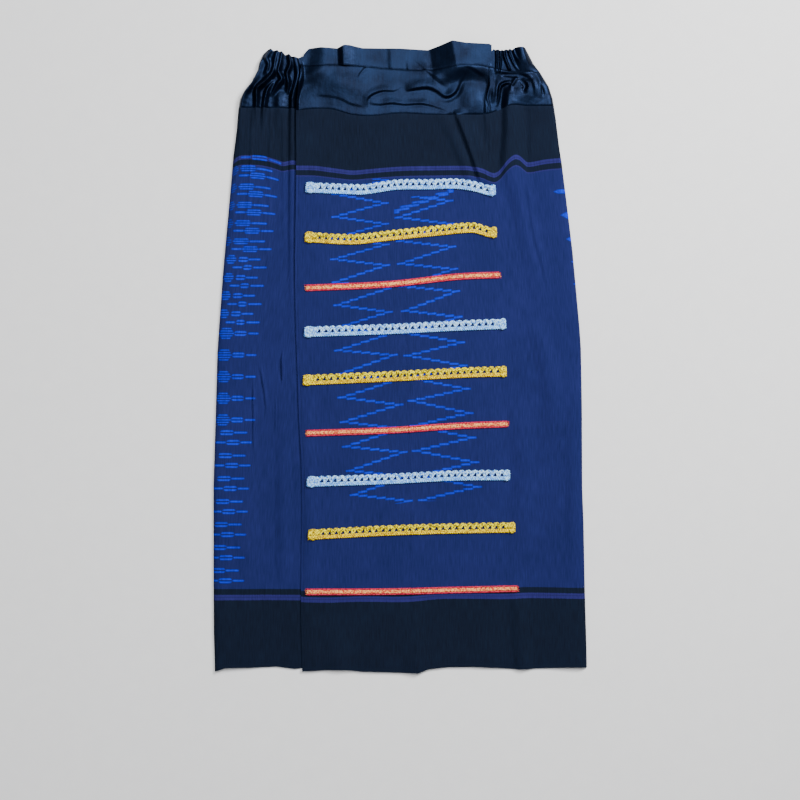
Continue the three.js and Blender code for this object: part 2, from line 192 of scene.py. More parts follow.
LIGHTS = [
    # name, place, aimed at, width, watts
    ("window_light", (1.5, 1.4, 1.8), (0, 0.05, 0), 1.0, 112),
    ("sky_light", (0.15, 0.95, 3.0), (0, 0.1, 0), 1.5, 84),
    ("room_light", (-1.7, -1.6, 2.2), (0, 0, 0), 2.0, 22),
]
for light_name, light_place, target, width, watts in LIGHTS:
    lamp = bpy.data.lights.new(light_name, "AREA")
    lamp.shape = "DISK"
    lamp.size = width
    lamp.energy = watts
    lamp_object = bpy.data.objects.new(light_name, lamp)
    bpy.context.collection.objects.link(lamp_object)
    aim = [t - p for t, p in zip(target, light_place)]
    tilt = math.acos(-aim[2] / math.hypot(*aim))
    lamp_object.location = light_place
    lamp_object.rotation_euler = (tilt, 0, math.atan2(aim[1], aim[0]) - math.pi / 2)

room = bpy.data.worlds.new("room")
room.use_nodes = True
room.node_tree.nodes["Background"].inputs["Color"].default_value = linear(ROOM)
room.node_tree.nodes["Background"].inputs["Strength"].default_value = ROOM_STRENGTH
bpy.context.scene.world = room

camera = bpy.data.cameras.new("camera")
camera.lens = LENS
camera.sensor_width = SENSOR
camera_object = bpy.data.objects.new("camera", camera)
camera_distance = PICTURE_SIDE * LENS / SENSOR + CLOTH_HEIGHT
camera_object.location = placed(*PICTURE_MIDDLE, camera_distance / MM)
bpy.context.collection.objects.link(camera_object)
bpy.context.scene.camera = camera_object

# ---- Back: the lowest layer, which the skirt rests on ----
# The back is cut from the same ikat cloth, with a satin yoke and a satin waistband. It lies flat and
# face down, and the front is folded over onto it along both sides.
THREAD = 0.7  # thickness of one cloth
BACK_THREAD = 0.6
BACK_HEIGHT = 0.8
BACK_GATHER, BACK_WAVE = 0.105, 0.07  # how high they stand
BACK_INSET = 1.5
FIRST_TOP, FIRST_LENGTH, FIT_ROUNDS = 100, 800, 14  # a first guess at a sheet's rows, then fitted
BACK_WAIST_SEAM = 37
BACK_YOKE_SEAM = 95
BACK_HEM = 941
# Columns: down, across.
LEFT_EDGE = [
    (7, -205), (11, -209), (24, -215), (35, -217), (54, -227), (67, -238), (79, -244), (94, -246.5),
    (129, -249.5), (164, -254), (233, -260), (343, -270), (420, -275.5), (464, -278.5), (571, -281.5),
    (668, -284.5), (815, -284.5), (892, -284), (951, -282.5),
]
RIGHT_EDGE = [
    (4, 192), (14, 197.5), (25, 203), (38, 213), (60, 226.5), (79, 232.5), (108, 237), (153, 242.5),
    (175, 246), (231, 253), (309, 262.5), (379, 269), (429, 273.5), (458, 275.5), (544, 277),
    (671, 277.5), (723, 279.5), (830, 281.5), (915, 284), (944, 284.5),
]
# Columns: across, down.
BACK_TOP = [(-201, 13), (-186, 13), (-156, 21), (-138, 15), (0, 8), (139, 11), (187, 8)]


def straight(table):
    """A function that goes straight from point to point of a table."""
    at, values = np.array(table, float).T
    return lambda x: np.interp(x, at, values)


def level(value):
    """A level line: the same value everywhere."""
    return lambda x: np.full(np.shape(x), float(value))


def smooth(table):
    """A smooth curve through the points of a table, each slope taken from the points on both sides."""
    at, values = np.array(table, float).T
    before = np.maximum(np.arange(len(at)) - 1, 0)
    after = np.minimum(np.arange(len(at)) + 1, len(at) - 1)
    slopes = (values[after] - values[before]) / (at[after] - at[before])

    def curve(x):
        row = np.clip(np.searchsorted(at, x, "left") - 1, 0, len(at) - 2)
        span = at[row + 1] - at[row]
        t = np.clip((x - at[row]) / span, 0, 1)
        leave = t * (1 - t) * (1 - t) * span * slopes[row]
        arrive = t * t * (1 - t) * span * slopes[row + 1]
        return values[row] + (values[row + 1] - values[row]) * ease(t) + leave - arrive

    return curve


def ease(share):
    """A share from 0 to 1, eased at both ends."""
    t = np.clip(share, 0, 1)
    return t * t * (3 - 2 * t)


def zones(*parts):
    """Shares from 0 to 1 in zones, each with from, to, steps."""
    return np.concatenate([*[np.linspace(a, b, n, endpoint=False) for a, b, n in parts], [1.0]])


def made_piece(name, material, body):
    """A smooth-shaded object from a bmesh, in one material."""
    mesh = bpy.data.meshes.new(name)
    for face in body.faces:
        face.smooth = True
    body.to_mesh(mesh)
    body.free()
    mesh.materials.append(material)
    piece = bpy.data.objects.new(name, mesh)
    bpy.context.collection.objects.link(piece)
    return piece


def moved_grid(body, columns, rows):
    """Adds a flat grid to a bmesh. Gives its vertices, and the column and the row that each is in."""
    made = bmesh.ops.create_grid(body, x_segments=columns - 1, y_segments=rows - 1, size=0.5)["verts"]
    flat = np.array([vertex.co[:2] for vertex in made])
    column = np.rint((flat[:, 0] + 0.5) * (columns - 1)).astype(int)
    row = np.rint((0.5 - flat[:, 1]) * (rows - 1)).astype(int)
    return made, column, row


def put(vertices, across, down, height):
    """Moves vertices to places on the skirt."""
    for vertex, place in zip(vertices, np.stack(placed(across, down, height), 1)):
        vertex.co = place


def cloth_sheet(name, material, edges, across_shares, down_shares, upper, maps, thickness=THREAD):
    """A cut piece of cloth between four edges: left and right of down, top and bottom of across.

    Its upper side lies at upper(across, down), and each of maps gives a UV map in the same way.
    """
    left, right, top, bottom = edges
    body = bmesh.new()
    made, column, row = moved_grid(body, len(across_shares), len(down_shares))
    down = FIRST_TOP + FIRST_LENGTH * down_shares[row]
    for _ in range(FIT_ROUNDS):
        across = left(down) + (right(down) - left(down)) * across_shares[column]
        down = top(across) + (bottom(across) - top(across)) * down_shares[row]
    put(made, across, down, upper(across, down))
    body.verts.index_update()
    for map_name, cloth_map in maps.items():
        layer = body.loops.layers.uv.new(map_name)
        pairs = np.stack(cloth_map(across, down), 1)
        for face in body.faces:
            for loop in face.loops:
                loop[layer].uv = pairs[loop.vert.index]
    for edge in body.edges:
        edge.smooth = not edge.is_boundary
    piece = made_piece(name, material, body)
    wall = piece.modifiers.new("cloth_thickness", "SOLIDIFY")
    wall.thickness = thickness * MM
    wall.offset = -1
    return piece


# The cloth's own weave is charted by `along` its warp from the waist and `over` its weft. Stripes and
# dashes lie at fixed places in it, and the tables say where those places lie on the skirt.
SEAM_AT = 100
TOP_STRIPE_AT = 186
HEM_STRIPE_AT = 837
HEM_AT = 950
STRIPE_HALF = 3.3
BLACK_STRIPE = 8.6
HEM_STRIPE_HALF = 4.2
# Colours of the yarns, each from its darkest to its lightest.
BLACK = (9, 15, 28), (17, 27, 46)
INDIGO = (24, 24, 70), (42, 41, 104)
BLUE = (18, 25, 66), (32, 37, 91)
IKAT = (0, 22, 158), (0, 52, 226)
MIDDLE_LINE = 0.6  # how far a stripe's darker line lies from its middle
LINE_GAPS = {1: 3.1, 2: 4.6, 3: 3.3, 4: 3.6, 5: 3.6}  # between dashes, by how many lie together
DASH_SOFTNESS = 0.9
DASH_LEVEL = 0.85  # a dash lies this much of the way from along its line to level
DASH_HALF, DASH_FADE = 0.49, 0.22  # in lengths from one dash to the next


def strongest(masks):
    """The greatest of several masks at each place."""
    total = masks[0]
    for mask in masks[1:]:
        total = total.math("MAXIMUM", mask)
    return total


def bars(over, along, groups, rows):
    """Ikat dashes in rows: groups of (from, to, lines), at rows of (first, pitch, count)."""
    first, pitch, count = rows
    step = (along - first) * (1 / pitch)
    index = step.math("ROUND")
    inside = index.near((count - 1) / 2, count / 2, 0.2)
    high = (step - index) * pitch
    masks = []
    for start, end, lines in groups:
        gap = LINE_GAPS[lines]
        thin = 0.35 if lines > 2 else 0
        shift = 0 if lines % 2 else gap / 2
        line = (high + (shift + 50 * gap)).math("PINGPONG", gap)
        wave = line.math("MINIMUM", gap - line)
        mask = 1 - wave.between(0.75 - thin, 1.8 - 1.2 * thin)
        mask = mask * high.near(0, lines * gap / 2, DASH_SOFTNESS)
        reach = (over - (start + end) / 2).math("ABSOLUTE") + high.math("ABSOLUTE") * 0.7
        half = (end - start) / 2
        masks.append(mask * (1 - reach.between(half - 1, half + 1.6)))
    return strongest(masks) * inside


def dashed(over, height, slope, dashes, half, whole_ends=False):
    """A slanting line of level dashes, where height + slope * over is 0, from 0 to 1 of over.

    The dashes at its ends are half ones, or with whole_ends whole ones, at the ends' own heights.
    """
    shift = 0.5 if whole_ends else 0
    rise = slope / (dashes - 2 * shift)
    masks = []
    for odd in (0, 1):
        place = over * dashes + (shift - odd)
        local = (place * 0.5).math("FRACT") * 2 - 1
        centre = (place - local * DASH_LEVEL + (odd - 2 * shift)) * rise
        masks.append((height + centre).near(0, half, half) * local.near(0, DASH_HALF, DASH_FADE))
    return strongest(masks) * over.near(0.5, 0.5, 0.02)


def zigzag(over, step, dashes, half, first, last):
    """A zigzag column of dashed lines, its right tips at whole steps and over from 0 to 1."""
    shown = step.near((first + last) / 2, (last - first) / 2, 0.02)
    return dashed(over, step.math("PINGPONG", 0.5) - 0.5, 0.5, dashes, half, whole_ends=True) * shown


def ikat_cloth(name, ikat_masks):
    """The striped ikat cloth. ikat_masks(place) gives the masks of its bright dashes."""
    material, shader, place = finish(name, Roughness=0.85, Specular_IOR_Level=0.06)
    over, along = [value * (1 / MM) for value in place.uv("cloth")]
    threads = place.point(over * (1 / 1.5), along * (1 / 22)).noise(1, 3)
    shifts = place.point(over * (1 / 1.1), along * (1 / 90)).noise(1, 1)
    patches = place.point(over * (1 / 60), along * (1 / 90)).noise(1, 2)
    heather = (threads - 0.5) * 1.5 + (patches - 0.5) * 0.5 + 0.5
    woven = along + (shifts - 0.5) * 1.4
    body_start = TOP_STRIPE_AT + STRIPE_HALF + BLACK_STRIPE
    body_end = HEM_STRIPE_AT - HEM_STRIPE_HALF - BLACK_STRIPE
    stripe = woven.near(TOP_STRIPE_AT, STRIPE_HALF, 0.7)
    thin_line = woven.near(body_start, 0.8, 0.8)
    hem_stripe = woven.near(HEM_STRIPE_AT, HEM_STRIPE_HALF, 0.7)
    ground = woven.near((body_start + body_end) / 2, (body_end - body_start) / 2, 0.8)
    middles = woven.near(TOP_STRIPE_AT + MIDDLE_LINE, 0.5, 0.8)
    middles += woven.near(HEM_STRIPE_AT - MIDDLE_LINE, 0.5, 0.8)
    indigo = stripe.math("MAXIMUM", hem_stripe).math("MAXIMUM", thin_line) * (1 - 0.4 * middles)
    black, blue, violet, bright = [heather.dye(colours) for colours in (BLACK, BLUE, INDIGO, IKAT)]
    colour = indigo.blend(ground.blend(black, blue), violet)
    fade = 0.62 + 0.38 * place.point(over * (1 / 6), along * (1 / 4)).noise(1, 2).between(0.35, 0.6)
    for mask, strength in ikat_masks(place, over, along):
        colour = (mask * fade * strength).blend(colour, bright)
    ribs = (over * (2 * math.pi / 0.9)).math("SINE") * (along * (2 * math.pi / 0.7)).math("SINE")
    relief = threads * 0.6 + ribs * 0.25
    bump = place.out("Bump", None, {"Strength": 0.5, "Distance": 0.0003, "Height": relief})
    feed(shader, Base_Color=colour, Normal=bump)
    return material


# The middle of the left side's spindle-shaped ikat. Columns: down, across.
SPINDLE_AXIS = straight([
    (187, -217.8), (322, -231.7), (380, -240.5), (406, -243), (436, -246), (476, -250), (568, -251),
    (587, -253.3), (797, -266),
])
# Rows of dashes: how strong, the first row, its pitch, how many, and groups of from, to, lines.
SPINDLES = [
    (1, 202.5, 26.8, 5, [(-25, -1, 3), (0, 23, 1)]),
    (1, 212.8, 27.1, 5, [(-26, -11, 1), (-10, 14, 3), (15.5, 34, 1)]),
    (1, 336.5, 26.8, 4, [(-33, -17, 4), (-14.5, 1, 2), (1.5, 19, 1)]),
    (1, 348.3, 27.1, 4, [(-21, -7, 1), (-5.5, 8, 2), (10.5, 30, 1)]),
    (1, 446, 32, 5, [(-30, -7, 5), (-6.5, 12.5, 2), (15, 30, 1)]),
    (1, 592.8, 34, 7, [(-21, 0, 2), (0.5, 20, 1)]),
    (1, 607.3, 34.1, 7, [(-27, -11.3, 1), (-10.4, 10.3, 2), (11.4, 28, 1)]),
    (0.45, 202.5, 26.8, 5, [(-39, -27, 4)]),
    (0.85, 186, 60, 1, [(-24, -10, 1), (-8, 16, 2), (18, 36, 1)]),
]


def under_ikat(place, over, along):
    """Masks of the left side's ikat: rows of spindles, and the flecks on the stripe above them."""
    return [(bars(over, along, groups, rows), strength) for strength, *rows, groups in SPINDLES]


left_edge = straight(LEFT_EDGE)
right_edge = straight(RIGHT_EDGE)
under_stripe = smooth([
    (-254, 176), (-248, 171), (-242, 168.5), (-225, 168), (-207, 169.5), (-190, 174), (-178, 178),
    (-169, 176.5), (-159, 176), (134, 176),
])
under_hem_stripe = straight([(-285, 838), (-150, 838.5), (134, 838)])
under_hem = straight([
    (-283, 951), (-266, 945.5), (-227, 945), (-188, 943.5), (-161, 947), (-149, 945.5), (134, 944),
])
under_yoke_seam = smooth([(-248, 93), (-189, 93), (-148, 94), (134, 96)])


LEVEL_AT = 300  # below here the weft is no longer drawn up by the gathers
CHARTED_AT = 170  # how far down the stripes' lines were charted


def weft_map(seam, stripe, level_down, hem_stripe, hem, warp, start):
    """The map `cloth`: over the weft from warp(across, down), and along the warp between its lines."""

    def cloth_map(across, down):
        drawn = across - start(down) + start(CHARTED_AT)
        lines = [seam(across), stripe(drawn), level(level_down)(across), hem_stripe(across), hem(across)]
        values = [SEAM_AT, TOP_STRIPE_AT, LEVEL_AT, HEM_STRIPE_AT, HEM_AT]
        along = level(SEAM_AT)(across)
        for line, following, value, next_value in zip(lines, lines[1:], values, values[1:]):
            share = (down - line) / (following - line)
            along = np.where(share > 0, value + (next_value - value) * share, along)
        return warp(across, down) * MM, along * MM

    return cloth_map


under_map = weft_map(
    under_yoke_seam, under_stripe, 286, under_hem_stripe, under_hem,
    lambda across, down: across - SPINDLE_AXIS(down), left_edge,
)

# The satin of the yoke and the waistband: smooth, with a broad sheen, fine threads and faint crumples.
SATIN = (8, 15, 31), (14, 26, 48)
satin, satin_shader, satin_place = finish(
    "navy_satin", Metallic=0.85, Roughness=0.4, Specular_IOR_Level=0.15)
satin_threads = satin_place.out("Mapping", None, {"Vector": satin_place, "Scale": (900, 60, 200)})
satin_tone = satin_threads.noise(1, 2) * 0.35 + satin_place.noise(28, 3) * 0.65
satin_crumple = satin_place.noise(70, 3) + satin_threads.noise(1, 1) * 0.04
feed(
    satin_shader,
    Base_Color=satin_tone.between(0.3, 0.7).dye(SATIN),
    Normal=satin_place.out("Bump", None, {"Strength": 0.35, "Distance": 0.0016, "Height": satin_crumple}),
)


def beside(edge, away):
    """An edge a little to the right of another."""
    return lambda down: edge(down) + away


def flat_map(across, down):
    """A map straight down onto a piece."""
    return across * MM, down * MM


def back_upper(across, down):
    """The back's upper side: flat, with low gathers that run down from its waistband."""
    gathers = np.sin(across * 0.42 + 2 * np.sin(across * 0.05)) * ease((330 - down) / 330)
    waves = np.sin(across * 0.035 + 1) * np.sin(down * 0.012 + across * 0.01)
    return BACK_HEIGHT + BACK_GATHER * gathers + BACK_WAVE * waves


def lay(node, material, edges, shares, upper, maps, slot, cut, thickness=THREAD):
    """Makes a sheet and gives it to the frame. Its cut, of its flat size, its area and how it is held, is
    not used.
    """
    piece = cloth_sheet(node + "_cloth", material, edges, *shares, upper, maps, thickness)
    flat, area, held = cut
    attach(piece, "root")
    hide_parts(node)


cloth_back = ikat_cloth("ikat_cloth_back", under_ikat)
BACK_COLUMNS = np.linspace(0, 1, 110)
back_sides = beside(left_edge, BACK_INSET), beside(right_edge, -BACK_INSET)
back_pieces = [
    ("back_waistband", satin, straight(BACK_TOP), level(BACK_WAIST_SEAM), 10, flat_map,
     "satin", (0.62, 0.03), 0.0115, "gathered"),
    ("back_yoke", satin, level(BACK_WAIST_SEAM), level(BACK_YOKE_SEAM), 16, flat_map,
     "satin", (0.6, 0.06), 0.0258, "gathered"),
    ("back_panel", cloth_back, level(BACK_YOKE_SEAM), level(BACK_HEM), 120, under_map,
     "ikat_cloth", (0.6, 0.86), 0.475, "laid"),
]
for node, material, top, bottom, rows, cloth_map, slot, *cut in back_pieces:
    shares = BACK_COLUMNS, np.linspace(0, 1, rows)
    lay(node, material, (*back_sides, top, bottom), shares, back_upper, {"cloth": cloth_map}, slot, cut,
        BACK_THREAD)

# ---- Underlap: the gathered left side of the front ----
# The underlap's waist is an elastic casing. Its satin yoke and its ikat cloth hang from the casing in
# gathers, and the rest of it lies flat under the overlap.
CLOTH_WALL = 1.2
LAYER_GAP = 0.3
UNDER_TOP_SIDE = 2 * CLOTH_WALL + LAYER_GAP  # how high its upper side lies
UNDERLAP_EDGE = 134
SIDE_PUFF = 4.5
SIDE_ROLL = 11
SIDE_FADE = 75
EDGE_ROLL = 3.0
EDGE_HEIGHT = 1.0
SEAM_DEPTH, SEAM_HALF = 0.7, 2.6
WAIST_SEAM_SHARE = 0.57  # the overlap's waist seam is as deep as this share of the others
# The overlap's front edge. Columns: down, across.
WRAP_EDGE = [
    (12, -147), (28, -150), (41, -152), (58, -154), (75, -156), (97, -158), (187, -158), (324, -160),
    (416, -159), (501, -156), (565, -154), (629, -150.5), (687, -149.5), (842, -151), (951, -149),
]
# Each fold: half its width, its form (2 is soft, 1 is sharp), and its path of across, down, rise.
UNDER_FOLDS = [
    (9, 1.4, [(-211, 20, 3), (-223, 50, 6), (-237, 72, 6), (-242, 93, 4), (-246, 150, 0)]),
    (6, 1.2, [(-197, 6, 3), (-203, 17, 5), (-200, 27, 5), (-203, 40, 3)]),
    (7.5, 1.2, [(-188, 10, 3), (-190, 20, 5), (-194, 40, 8), (-207, 55, 9), (-217, 64, 9), (-218, 82, 7),
        (-220, 125, 0)]),
    (6.5, 1.2, [(-195, 55, 3), (-202, 67, 8), (-205, 79, 9), (-207, 93, 8), (-209, 130, 0)]),
    (6.5, 1.2, [(-180, 9, 3), (-183, 27, 6), (-185, 38, 8), (-180, 49, 9), (-186, 58, 9), (-194, 70, 4)]),
    (6, 1.2, [(-169, 12, 3), (-167, 27, 6), (-172, 41, 8), (-170, 55, 9), (-171, 68, 3)]),
    (14, 2, [(-183, 78, 3), (-182, 96, 4), (-184, 140, 0)]),
    (6, 2.4, [(-160, 17, 3), (-157, 30, 5), (-155.5, 41, 8), (-157, 52, 9), (-161, 65, 9), (-164, 79, 8),
        (-164, 92, 6), (-164.5, 150, 3.5), (-165.5, 324, 2), (-165, 431, 0)]),
    (15, 2, [(-178, 520, 0), (-178, 620, 2), (-178, 760, 2.5), (-176, 850, 0)]),
    (22, 2, [(-228, 560, 0), (-232, 700, 2), (-230, 850, 1.5), (-228, 948, 1)]),
    # Finer ones, down the cloth below the gathers.
    (4, 1.6, [(-224, 96, 1.2), (-227, 170, 1.5), (-232, 260, 0.8), (-236, 340, 0)]),
    (5, 1.6, [(-196, 96, 1.0), (-198, 170, 1.2), (-200, 300, 0.5), (-202, 380, 0)]),
    (4, 1.6, [(-178, 96, 1.2), (-178, 180, 1.0), (-178, 300, 0)]),
    # The groove beside the overlap's front edge.
    (3, 1.2, [(x - 2, d, -np.interp(d, [97, 187, 324], [0.8, 1, 1.2])) for d, x in WRAP_EDGE[5:]]),
]
# Each crease steps down to the right of its path, as someone walking along it would see it. Before
# the path are how wide its high side, its low side and its drop are, and how high the step is.
UNDER_CREASES = [
    (9, 6, 2.5, 1.0, [(-170, 92, 1), (-170, 190, 0.7), (-171, 280, 0.2), (-171, 340, 0)]),
    # Small sharp ones below the gathers.
    (6, 4, 1.6, 6.0, [(-180, 464, 0), (-180.5, 474, 1), (-180.5, 496, 1), (-180.5, 514, 0)]),
    (6, 4, 1.6, 3.8, [(-225.5, 498, 0), (-224.5, 530, 1), (-224, 590, 0.8), (-224, 628, 0)]),
    (6, 4, 1.6, 3.6, [(-217, 484, 0), (-212, 500, 1), (-207, 530, 1), (-204, 562, 0)]),
    (4, 3, 1.4, 2.2, [(-172, 502, 0), (-168, 499, 1), (-163, 490, 0)]),
    (4, 3, 1.4, 1.8, [(-189, 590, 0), (-188.5, 572, 1), (-188, 540, 1), (-188, 522, 0)]),
]


def lengths(path):
    """How far along a path each of its points lies."""
    return np.concatenate([[0], np.cumsum(np.linalg.norm(np.diff(path, axis=0), axis=1))])


def curved(path):
    """A path with its corners rounded, by smooth curves through its points."""
    path = np.array(path, float)
    steps = lengths(path[:, :2])
    fine = np.unique(np.concatenate([steps, np.linspace(0, steps[-1], 4 * len(path))]))
    return np.stack([smooth(np.stack([steps, column], 1))(fine) for column in path.T], 1)


def along_path(path, across, down):
    """The distance to a path, the side of it, and the path's third column there."""
    path = curved(path)
    nearest = np.full(np.shape(across), np.inf)
    side = np.zeros(np.shape(across))
    value = np.zeros(np.shape(across))
    for (x0, d0, value0), (x1, d1, value1) in zip(path, path[1:]):
        run, fall = x1 - x0, d1 - d0
        share = np.clip(((across - x0) * run + (down - d0) * fall) / (run**2 + fall**2), 0, 1)
        distance = np.hypot(across - x0 - run * share, down - d0 - fall * share)
        closer = distance < nearest
        nearest = np.where(closer, distance, nearest)
        side = np.where(closer, np.sign(run * (down - d0) - fall * (across - x0)), side)
        value = np.where(closer, value0 + (value1 - value0) * share, value)
    return nearest, side, value


def folds_at(folds, across, down):
    """All the folds of a layer together."""
    total = np.zeros(np.shape(across))
    for half, form, path in folds:
        nearest, _, rise = along_path(path, across, down)
        total += rise * (1 - np.clip(nearest / half, 0, 1) ** form) ** 2
    return total


def creases_at(creases, across, down):
    """All the creases of a layer together."""
    total = np.zeros(np.shape(across))
    for wide, low, drop, step, path in creases:
        nearest, side, strength = along_path(path, across, down)
        high_side = 0.65 * ease(1 - nearest / wide)
        low_side = -0.35 * ease(1 - nearest / low)
        share = ease(0.5 + nearest * side / drop)
        total += step * strength * (high_side * (1 - share) + low_side * share)
    return total


def soft_floor(relief, lowest):
    """The relief, with its lowest parts eased so that they don't press into the layer below."""
    above = relief - lowest
    return lowest + 0.5 * (above + np.sqrt(above * above + 0.2))


def waves(across, down):
    """Uneven soft rises and falls, from about -1 to 1."""
    long_wave = np.sin(across / 19 + down / 41 + 0.7) * np.sin(down / 29 - across / 37)
    short_wave = np.sin(across / 9.5 - down / 14 + 2) * np.sin(down / 11 + across / 23 + 1)
    return 0.65 * long_wave + 0.35 * short_wave


def side_puff(inward):
    """How far a folded side stands up, a distance inward from its edge."""
    turn = np.clip(1 - inward / SIDE_ROLL, 0, 1)
    return SIDE_PUFF * np.sqrt(1 - turn * turn) * ease((SIDE_FADE - inward) / (SIDE_FADE - SIDE_ROLL))


def rolled(height, inward):
    """The height near a folded side, where the cloth turns down and under."""
    turn = np.clip(1 - inward / EDGE_ROLL, 0, 1)
    return EDGE_HEIGHT + (height - EDGE_HEIGHT) * np.sqrt(1 - turn * turn)


def seam_groove(away, half=SEAM_HALF):
    """The groove of a seam, by the distance away from it."""
    return SEAM_DEPTH * (1 - np.clip(np.abs(away) / half, 0, 1)) ** 2


def under_upper(across, down):
    """The underlap's upper side."""
    inward = across - left_edge(down)
    height = UNDER_TOP_SIDE + folds_at(UNDER_FOLDS, across, down) + side_puff(inward)
    height += creases_at(UNDER_CREASES, across, down) + 0.3 * waves(across, down) * ease(inward / 20)
    gathered = ease((108 - down) / 30) * ease((-158 - across) / 10) * ease(inward / 12)
    height += 0.55 * waves(5 * across, 4 * down) * gathered
    return rolled(height - seam_groove(down - under_yoke_seam(across), 3), inward)


under_waist_seam = smooth([(-220, 33), (-185, 36), (-148, 38), (-100, 37), (134, 37)])
under_top = straight([
    (-205, 7), (-197, 3), (-192, 7), (-187, 5), (-184, 8), (-180, 7), (-175, 13), (-169, 11),
    (-165, 15), (-161, 15), (-155, 17), (-148, 14), (-125, 10), (134, 8),
])
UNDER_COLUMNS = zones((0, 0.03, 12), (0.03, 0.34, 112), (0.34, 1, 14))
UNDER_PANEL_COLUMNS = zones((0, 0.03, 12), (0.03, 0.18, 46), (0.18, 0.31, 46), (0.31, 1, 14))
cloth_under = ikat_cloth("ikat_cloth_underlap", under_ikat)
under_pieces = [
    ("under_waistband", satin, under_top, under_waist_seam, UNDER_COLUMNS, np.linspace(0, 1, 30),
     flat_map, "satin", (0.5, 0.035), 0.0135, "gathered"),
    ("under_yoke", satin, under_waist_seam, under_yoke_seam, UNDER_COLUMNS, np.linspace(0, 1, 64),
     flat_map, "satin", (0.5, 0.062), 0.028, "gathered"),
    ("under_panel", cloth_under, under_yoke_seam, under_hem, UNDER_PANEL_COLUMNS,
     zones((0, 0.25, 80), (0.25, 1, 160)), under_map, "ikat_cloth", (0.46, 0.86), 0.36, "gathered"),
]
for node, material, top, bottom, columns, rows, cloth_map, slot, *cut in under_pieces:
    lay(node, material, (left_edge, level(UNDERLAP_EDGE), top, bottom), (columns, rows), under_upper,
        {"cloth": cloth_map}, slot, cut)

# ---- Overlap: the front panel with its satin yoke, flat waistband and elastic casing ----
# The overlap covers the underlap up to its own front edge, and comes down onto the back at the
# right, where another elastic casing gathers it. A pressed crease runs down its centre.
BAND_WALL = 2.0
OVER_TOP_SIDE = UNDER_TOP_SIDE + CLOTH_WALL + LAYER_GAP
DESCENT_START = 140
DESCENT_END = 166
LIFT_END = -100
LIFT_REACH = 4.5
BAND_END = 139
OVER_FOLDS = [
    # Gathers of the elastic casing and the puff beside them.
    (3.4, 1.4, [(146, 0, 4), (147, 18, 4), (146, 38, 2)]),
    (2.8, 1.4, [(151.5, 3, 2.5), (153, 20, 4), (150.5, 38, 3)]),
    (3.8, 1.4, [(157, 3, 4), (159, 16, 5), (166, 34, 4)]),
    (3.2, 1.4, [(164, 2, 4), (166.5, 12, 4), (174, 28, 3), (180, 36, 1)]),
    (3.0, 1.4, [(171, 2, 2), (175, 14, 2.5), (182, 24, 0)]),
    (15, 2, [(183, -2, 8), (187, 20, 8), (192, 36, 4), (196, 48, 0)]),
    # Soft folds of the flat satin yoke.
    (30, 2, [(-124, 56, 0), (-92, 62, 2), (-60, 66, 2), (-30, 60, 0)]),
    (26, 2, [(0, 44, 0), (36, 46, 2.5), (60, 46, 3), (80, 44, 2), (96, 40, 0)]),
    (24, 2, [(98, 44, 0), (106, 62, 2.5), (110, 84, 3), (112, 110, 0)]),
    # Gathered side of the yoke: a pleat beside the dart, a thin ridge, and a puff with deep pinches.
    (6.5, 1.8, [(131, 30, 0), (134, 42, 1), (137, 58, 2.5), (132, 79, 2.5), (133, 130, 2), (134, 180, 0)]),
    (7, 1.6, [(143, 42, 1), (143, 54, 3), (142, 68, 3.5), (141, 78, 2), (139, 86, 0)]),
    (4.5, 1.3, [(166, 54, 2), (160, 55, 4), (154, 58, 5), (151, 64, 5.5), (150, 76, 4.5), (148, 88, 1)]),
    (28, 2, [(178, 60, 1.5), (192, 64, 3), (206, 68, 3), (216, 82, 1.5)]),
    (5.5, 1.5, [(181, 48, -1), (187, 55, -4), (190, 60, -4), (188, 66, -2.5), (192, 72, 0)]),
    (4, 1.5, [(213, 58, -0.5), (216, 66, -2.5), (218, 74, -0.5)]),
    (5, 1.5, [(157, 42, -2), (170, 43, -3), (186, 45, -3.5), (198, 50, -1)]),
    (5, 1.6, [(193, 42, 0.5), (202, 52, 1.3), (206, 64, 1.3), (206, 78, 0)]),
    (5, 1.6, [(205, 40, 0.5), (211, 50, 1.1), (213, 62, 1.2), (213, 80, 0)]),
    (5, 1.6, [(178, 46, 1), (173, 53, 2), (169, 60, 2), (168, 70, 0)]),
    # Long folds that the gathers send down the right front.
    (20, 2, [(178, 70, 1), (176, 84, 3), (175, 126, 4.5), (175, 172, 4), (186, 250, 4), (205, 340, 2),
        (222, 420, 0)]),
    (14, 2, [(66, 108, 1), (84, 140, 3), (104, 190, 3), (112, 240, 0)]),
    (11, 2, [(108, 112, 1), (120, 145, 3), (133, 190, 2), (136, 230, 0)]),
    (20, 2, [(190, 385, 0), (218, 460, 3), (232, 540, 2), (236, 620, 0)]),
    (24, 2, [(170, 520, 0), (188, 620, 3), (186, 740, 2), (180, 800, 0)]),
    (15, 2, [(262, 560, 0), (264, 700, 3), (262, 820, 0)]),
    (18, 2, [(166, 770, 0), (180, 850, 3), (188, 946, 4)]),
    (26, 2, [(-100, 860, 0), (-92, 950, 3)]),
    (24, 2, [(20, 860, 0), (26, 952, 3)]),
    (16, 2, [(-140, 480, 0), (-140, 600, 2), (-136, 760, 2), (-136, 948, 1)]),
    # Finer ones: the soft crease at the right, and small nicks.
    (7, 1.6, [(192, 98, -1.5), (193, 150, -1.5), (194, 200, 0)]),
    (5, 1.5, [(240, 590, 0), (246, 594, -0.8), (252, 594, 0)]),
    (5, 1.5, [(225, 452, 0), (231, 455, -0.8), (237, 458, 0)]),
]
